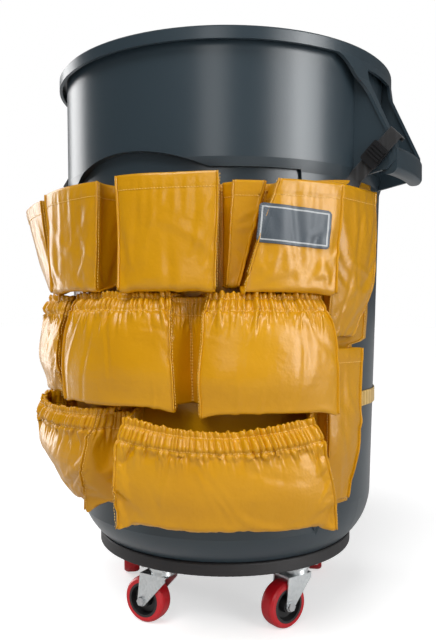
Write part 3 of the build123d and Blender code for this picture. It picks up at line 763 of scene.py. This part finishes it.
def make_bridge(name, seed, left_node, right_node, foot):
    """Cloth between two gathered pockets: sewn to the apron down its middle and gathered at its top."""
    rng = np.random.default_rng(seed)
    one, two = cad_outline(left_node), cad_outline(right_node)
    top = min(one[-1, 0], two[-1, 0]) + 0.003
    rows, columns = int((top - foot) / 0.0024) + 1, 45
    z = np.linspace(foot, top, rows)
    x = np.linspace(-1, 1, columns)[None, :]
    height = ((z - foot) / (top - foot))[:, None]
    _, right_top, _, right_low = POCKETS[left_node][-1]
    left_top, _, left_low, _ = POCKETS[right_node][-1]
    lean_one = np.degrees(BRIDGE_SHARE * (right_low + (right_top - right_low) * height) / one[0, 4])
    lean_two = np.degrees(BRIDGE_SHARE * (left_low + (left_top - left_low) * height) / two[0, 3])
    start = np.interp(z, one[:, 0], one[:, 2])[:, None] - BRIDGE_LAP - lean_one
    end = np.interp(z, two[:, 0], two[:, 1])[:, None] + BRIDGE_LAP + lean_two
    az = 0.5 * (start + end) + 0.5 * (end - start) * x
    reach = np.interp(z, one[:, 0], one[:, 4])[:, None]
    wall = wall_radius(z)[:, None] + PANEL_OUT
    middle_share = 0.16 + 0.34 * height**3
    valley = middle_share + (1 - middle_share) * np.abs(x) ** 1.2
    radius = wall + 0.002 + (reach - wall) * BRIDGE_SHARE * valley
    grid = polar(az, radius, z[:, None] + 0 * x)
    girth = float(run_along(grid[rows // 2])[-1])
    s = (x + 1) / 2 * girth
    below = (top - z[:, None] - FRILL - CASING).clip(0, None)
    squeeze = np.ones((rows, 1))
    for d in (FRILL, FRILL + CASING):
        squeeze *= 1 - 0.5 * np.exp(-(((top - z[:, None] - d) / 0.0026) ** 2))
    offset = gathers(rng, s, below, girth, *BRIDGE_FOLDS) * squeeze
    offset += 0.0010 * smooth_noise(rng, rows, columns, 3, 6)
    normal = grid_normals(grid)
    grid = grid + normal * offset[..., None]
    normal = grid_normals(grid)
    piece = grid_object("bridge_" + name, grid, MATERIALS["vinyl"])
    thicken(piece, FABRIC)
    middle = columns // 2
    lines = [(grid[:, middle + k] + normal[:, middle + k] * 0.0003, normal[:, middle + k]) for k in (-2, 2)]
    for d in (FRILL, FRILL + CASING):
        row = int(np.argmin(np.abs(top - z - d)))
        lines.append((grid[row] + normal[row] * 0.0003, normal[row]))
    thread = thread_object("thread_bridge_" + name, lines, THREAD)
    thread.parent = piece
    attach(piece, "container")


for number, (bridge, style) in enumerate(BRIDGES.items()):
    make_bridge(bridge, 31 + number, *style)


# ---------------------------------------------------------------- the apron behind the pockets
APRON_WAIST = 0.470  # the height where the right edge steps in
APRON_DROP = 0.022  # how far the top edge dips in front of the pockets
APRON_RISE = (38.0, 84.0)  # azimuths between which it rises again
BINDING = 0.012


def apron_edges():
    """Left edge, right edge above the waist, right edge below it (azimuths), bottom and top."""
    co = np.array([v.co for v in NODES["apron_panel"].data.vertices])
    azimuth = np.degrees(np.arctan2(co[:, 0], -co[:, 1]))
    lower = co[:, 2] < APRON_WAIST - 0.01
    return azimuth.min(), azimuth.max(), azimuth[lower].max(), co[:, 2].min(), co[:, 2].max()


def make_apron():
    rng = np.random.default_rng(5)
    left, right, right_low, low, high = apron_edges()
    rows = int((high - low) / 0.005) + 1
    columns = int(radians(right - left) * 0.285 / 0.005) + 1
    z = np.linspace(low, high, rows)[:, None]
    step = ((z - APRON_WAIST + 0.004) / 0.008).clip(0, 1)
    end = right_low + (right - right_low) * step
    az = left + (end - left) * np.linspace(0, 1, columns)[None, :]
    rising = ((az - APRON_RISE[0]) / (APRON_RISE[1] - APRON_RISE[0])).clip(0, 1)
    fall = APRON_DROP * (1 - rising**2 * (3 - 2 * rising))
    z = z - fall * ((z - 0.55) / (high - 0.55)).clip(0, 1)
    wave = 0.0011 * smooth_noise(rng, rows, columns, 11, 9)
    wave = wave + 0.0008 * smooth_noise(rng, rows, columns, 30, 22)
    grid = polar(az, wall_radius(z) + 0.0017 + wave.clip(-0.0006, 0.0026), z)
    piece = grid_object("apron", grid, MATERIALS["vinyl"])
    thicken(piece, 0.0013)
    normal = grid_normals(grid)
    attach(piece, "container")
    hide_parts("apron_panel")
    up = np.array([0, 0, 1.0])
    trims, lines = [], []
    edges = {
        "top": (grid[-1], normal[-1], np.tile(up, (columns, 1)), -1),
        "bottom": (grid[0], normal[0], np.tile(up, (columns, 1)), 1),
        "left": (grid[:, 0], normal[:, 0], unit(np.gradient(grid, axis=1)[:, 0]), 1),
        "right": (grid[:, -1], normal[:, -1], unit(np.gradient(grid, axis=1)[:, -1]), -1),
    }
    for side, (line, out, across, inward) in edges.items():
        middle = line + across * inward * BINDING * 0.42 + out * 0.0004
        tape = ribbon(f"binding_{side}", middle, across, out, BINDING, 0.0032, MATERIALS["vinyl"])
        tape.parent = piece
        trims.append(tape)
        lines.append((line + across * inward * BINDING * 0.78 + out * 0.0021, out))
    for node in POCKETS:
        outline = cad_outline(node)
        for column, aside in ((1, -0.9), (2, 0.9)):
            at = np.linspace(outline[0, 0], outline[-1, 0] - 0.006, 40)
            edge = np.interp(at, outline[:, 0], outline[:, column]) + aside
            out = polar(edge, 1.0, 0 * at)
            lines.append((polar(edge, wall_radius(at) + 0.0034, at), out))
    thread = thread_object("thread_apron", lines, THREAD)
    thread.parent = piece
    trims.append(thread)


make_apron()


# ---------------------------------------------------------------- the label
LABEL_FACES = {
    "label_ground": moulded_material(
        "label_ground", (0.045, 0.060, 0.075), (0.055, 0.072, 0.090), (0.42, 0.5), 300.0, 0.2
    ),
    "label_frame": moulded_material(
        "label_frame", (0.40, 0.42, 0.43), (0.46, 0.48, 0.49), (0.42, 0.5), 300.0, 0.2
    ),
}
LABEL_CORNER = 0.007
LABEL_FRAME = (0.004, 0.006)  # the thin frame runs between these distances from the edge
LABEL_TILT = 4.0
LABEL_CELLS = (92, 56)


def make_label():
    """A blank sewn patch on the right-hand pocket: a slate field with a thin grey frame, and no marks."""
    outer, normal, _ = FINISHED["top_right"]
    low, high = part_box("label_patch")
    width = float((Vector((high.x, high.y)) - Vector((low.x, low.y))).length)
    tall = high.z - low.z
    middle = 0.5 * (low + high)
    distance = np.linalg.norm(outer - np.array(middle), axis=-1)
    row, column = np.unravel_index(np.argmin(distance), distance.shape)
    along = unit(outer[row, column + 8] - outer[row, column - 8])
    out = unit(normal[row - 6 : row + 7, column - 8 : column + 9].mean((0, 1)))
    up = np.cross(out, along)
    tilt = radians(LABEL_TILT)
    along, up = along * cos(tilt) - up * sin(tilt), up * cos(tilt) + along * sin(tilt)
    nx, ny = LABEL_CELLS
    x, y = np.meshgrid(np.linspace(-0.5, 0.5, nx + 1) * width, np.linspace(-0.5, 0.5, ny + 1) * tall)
    spots = outer[row, column] + x[..., None] * along + y[..., None] * up
    flat = outer.reshape(-1, 3)
    flat_normal = normal.reshape(-1, 3)
    lift = np.zeros(x.shape)
    for j in range(ny + 1):
        away = np.linalg.norm(spots[j][:, None, :] - flat[None, :, :], axis=-1)
        nearest = np.argsort(away, axis=1)[:, :6]
        weight = 1 / (np.take_along_axis(away, nearest, 1) + 1e-4) ** 2
        height = ((flat[nearest] - spots[j][:, None, :]) @ out * weight).sum(1) / weight.sum(1)
        lift[j] = height
    grid = spots + (lift + 0.0011)[..., None] * out
    piece = grid_object("label", grid, LABEL_FACES["label_ground"])
    piece.data.materials.append(LABEL_FACES["label_frame"])
    mesh = bmesh.new()
    mesh.from_mesh(piece.data)
    mesh.faces.ensure_lookup_table()
    gone = []
    for face in mesh.faces:
        j, i = divmod(face.index, nx)
        u, v = ((i + 0.5) / nx - 0.5) * width, ((j + 0.5) / ny - 0.5) * tall
        inside_x, inside_y = width / 2 - abs(u), tall / 2 - abs(v)
        if min(inside_x, inside_y) < 0 or (
            max(inside_x, inside_y) < LABEL_CORNER
            and (LABEL_CORNER - inside_x) ** 2 + (LABEL_CORNER - inside_y) ** 2 > LABEL_CORNER**2
        ):
            gone.append(face)
            continue
        if LABEL_FRAME[0] < min(inside_x, inside_y) < LABEL_FRAME[1]:
            face.material_index = 1
    bmesh.ops.delete(mesh, geom=gone, context="FACES")
    mesh.to_mesh(piece.data)
    mesh.free()
    thicken(piece, 0.0010)
    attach(piece, "container")
    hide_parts("label_patch")


make_label()


# ---------------------------------------------------------------- webbing
WEBBING, WEBBING_THICK = 0.025, 0.002
STRAP_SLOPE = 44.0
STRAP_PAST_LEG = 0.010
STRAP_AZIMUTHS = {"right": (74.9, 76.0), "left": (-60.0, -75.0)}
# On the wall: (share of the way between the strap's azimuths, height, distance off the wall)
STRAP_STATIONS = ((0.0, 0.690, 0.0045), (0.5, 0.708, 0.0060))
STRAP_BEND = 0.030  # from the buckle's middle back to where the strap leaves the wall


def smooth_path(points, count):
    line = curve_through(np.array(points, float), 400)
    run = run_along(line)
    at = np.linspace(0, run[-1], count)
    return np.stack([np.interp(at, run, line[:, k]) for k in range(line.shape[1])], -1)


def handle_strap(name, side):
    """From behind the apron's top, up the wall, then out to the handle's front leg and round it."""
    low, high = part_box(f"strap_{name}")
    buckle_low, buckle_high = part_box(f"buckle_{name}")
    slope = radians(STRAP_SLOPE)
    ahead = np.array([side * cos(slope), 0, sin(slope)])
    face = np.array([0, -1.0, 0])
    edge = np.cross(ahead, face)
    y = buckle_high.y + WEBBING_THICK / 2
    middle = np.array(0.5 * (buckle_low + buckle_high))
    middle[1] = y
    leg = (max(abs(low.x), abs(high.x)) - abs(middle[0])) / cos(slope) - STRAP_PAST_LEG
    tip = middle + ahead * leg
    deep = np.array([0, high.y - y - WEBBING_THICK / 2, 0])
    az_low, az_high = STRAP_AZIMUTHS[name]
    start = middle - ahead * STRAP_BEND
    begin = np.degrees(np.arctan2(start[0], -start[1]))
    stations = []
    for share, z, out_by in STRAP_STATIONS:
        az = az_low + (az_high - az_low) * share
        out = polar(az, 1.0, 0.0)
        stations.append((polar(az, wall_radius(z) + out_by, z), np.cross([0, 0, 1], out), out))
    stations.append((start - ahead * 0.018, edge, unit(face + 0.4 * polar(begin, 1.0, 0.0))))
    stations.append((start, edge, face))
    for along in (-0.012, 0.008):
        stations.append((middle + ahead * along, edge, face))
    stations += [(tip - ahead * 0.003, edge, face), (tip + deep * 0.15, edge, ahead)]
    stations += [(tip + deep * 0.85, edge, ahead), (tip + deep - ahead * 0.002, edge, -face)]
    stations.append((tip + deep - ahead * 0.006, edge, -face))
    packed = [np.concatenate(station) for station in stations]
    path = smooth_path(packed, 90)
    line, across, out = path[:, :3], unit(path[:, 3:6]), unit(path[:, 6:9])
    ahead_of = unit(np.gradient(line, axis=0))
    across = unit(across - (across * ahead_of).sum(1, keepdims=True) * ahead_of)
    out = unit(np.cross(across, ahead_of)) * np.sign((np.cross(across, ahead_of) * out).sum(1, keepdims=True))
    piece = ribbon(f"webbing_{name}", line, across, out, WEBBING, WEBBING_THICK, MATERIALS["webbing_black"])
    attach(piece, "container")
    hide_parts(f"strap_{name}")


def waist_strap():
    low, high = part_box("strap_waist")
    co = np.array([v.co for v in NODES["strap_waist"].data.vertices])
    radius = np.hypot(co[:, 0], co[:, 1])
    azimuth = np.degrees(np.arctan2(co[:, 0], -co[:, 1])) % 360
    z = 0.5 * (low.z + high.z)
    az = np.linspace(azimuth.min() - 2.5, azimuth.max() + 2.5, 160)
    r = 0.5 * (radius.min() + radius.max())
    out = polar(az, 1.0, 0.0 * az)
    line = polar(az, r + 0 * az, z + 0 * az)
    line[:, 2] += 0.0006 * np.sin(np.radians(az) * 9)
    across = np.tile([0, 0, 1.0], (len(az), 1))
    piece = ribbon("webbing_waist", line, across, out, WEBBING, 0.0019, MATERIALS["webbing_yellow"])
    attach(piece, "container")
    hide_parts("strap_waist")


handle_strap("right", 1)
handle_strap("left", -1)
waist_strap()


# ---------------------------------------------------------------- stage and light
def make_stage():
    bpy.ops.mesh.primitive_plane_add(size=60, location=(0, 0, 0))
    floor = bpy.context.object
    floor.name = "floor"
    material, nodes, links, shader = new_material("floor_paint")
    tone = noise(nodes, links, object_vector(nodes), 2.0)
    colour = ramp(nodes, links, tone, [(0.3, (0.69, 0.69, 0.69)), (0.7, (0.71, 0.71, 0.71))])
    links.new(colour, shader.inputs["Base Color"])
    shader.inputs["Roughness"].default_value = 0.6
    shader.inputs["Specular IOR Level"].default_value = 0.2
    seen = nodes.new("ShaderNodeLightPath")
    glow = nodes.new("ShaderNodeMath")
    glow.operation = "MULTIPLY"
    glow.inputs[1].default_value = FLOOR_GLOW
    links.new(seen.outputs["Is Camera Ray"], glow.inputs[0])
    links.new(glow.outputs["Value"], shader.inputs["Emission Strength"])
    shader.inputs["Emission Color"].default_value = (1, 1, 1, 1)
    floor.data.materials.append(material)


FLOOR_GLOW = 0.58
KEY_STRENGTH, KEY_SPREAD = 2.15, 30
SOFT_BOXES = {
    # name: (azimuth, distance, height, width, tallness, watts, whether it also lights matt surfaces)
    "right_fill": (74.0, 2.4, 1.2, 0.9, 1.6, 20.0, True),
    "right_edge": (86.0, 2.2, 0.9, 0.75, 1.9, 34.0, False),
    "left_box": (-90.0, 2.2, 0.9, 0.9, 1.9, 24.0, True),
    "front_box": (26.0, 2.6, 1.4, 0.7, 1.2, 7.0, True),
}


def aimed(name, light, place, aim):
    lamp = bpy.data.objects.new(name, light)
    bpy.context.scene.collection.objects.link(lamp)
    lamp.location = place
    lamp.rotation_euler = (Vector(aim) - Vector(place)).to_track_quat("-Z", "Y").to_euler()
    return lamp


def soft_box(name, azimuth, distance, height, wide, tall, power, fills):
    light = bpy.data.lights.new(name, "AREA")
    light.shape = "RECTANGLE"
    light.size, light.size_y = wide, tall
    light.energy = power
    lamp = aimed(name, light, tuple(polar(azimuth, distance, height)), (0, 0, 0.5))
    lamp.visible_diffuse = fills


def make_light():
    world = bpy.data.worlds.new("studio")
    bpy.context.scene.world = world
    world.use_nodes = True
    nodes, links = world.node_tree.nodes, world.node_tree.links
    background = nodes["Background"]
    seen = nodes.new("ShaderNodeLightPath")
    strength = nodes.new("ShaderNodeMapRange")
    strength.inputs["To Min"].default_value = 0.12
    strength.inputs["To Max"].default_value = 1.0
    links.new(seen.outputs["Is Camera Ray"], strength.inputs["Value"])
    links.new(strength.outputs["Result"], background.inputs["Strength"])
    background.inputs["Color"].default_value = (1.0, 1.0, 1.0, 1.0)
    sun = bpy.data.lights.new("key", "SUN")
    sun.energy = KEY_STRENGTH
    sun.angle = radians(KEY_SPREAD)
    aimed("key", sun, tuple(polar(8.0, 2.0, 2.9)), (0, 0, 0))
    for name, style in SOFT_BOXES.items():
        soft_box(name, *style)
    bpy.context.scene.view_settings.view_transform = "Standard"


make_stage()
make_light()
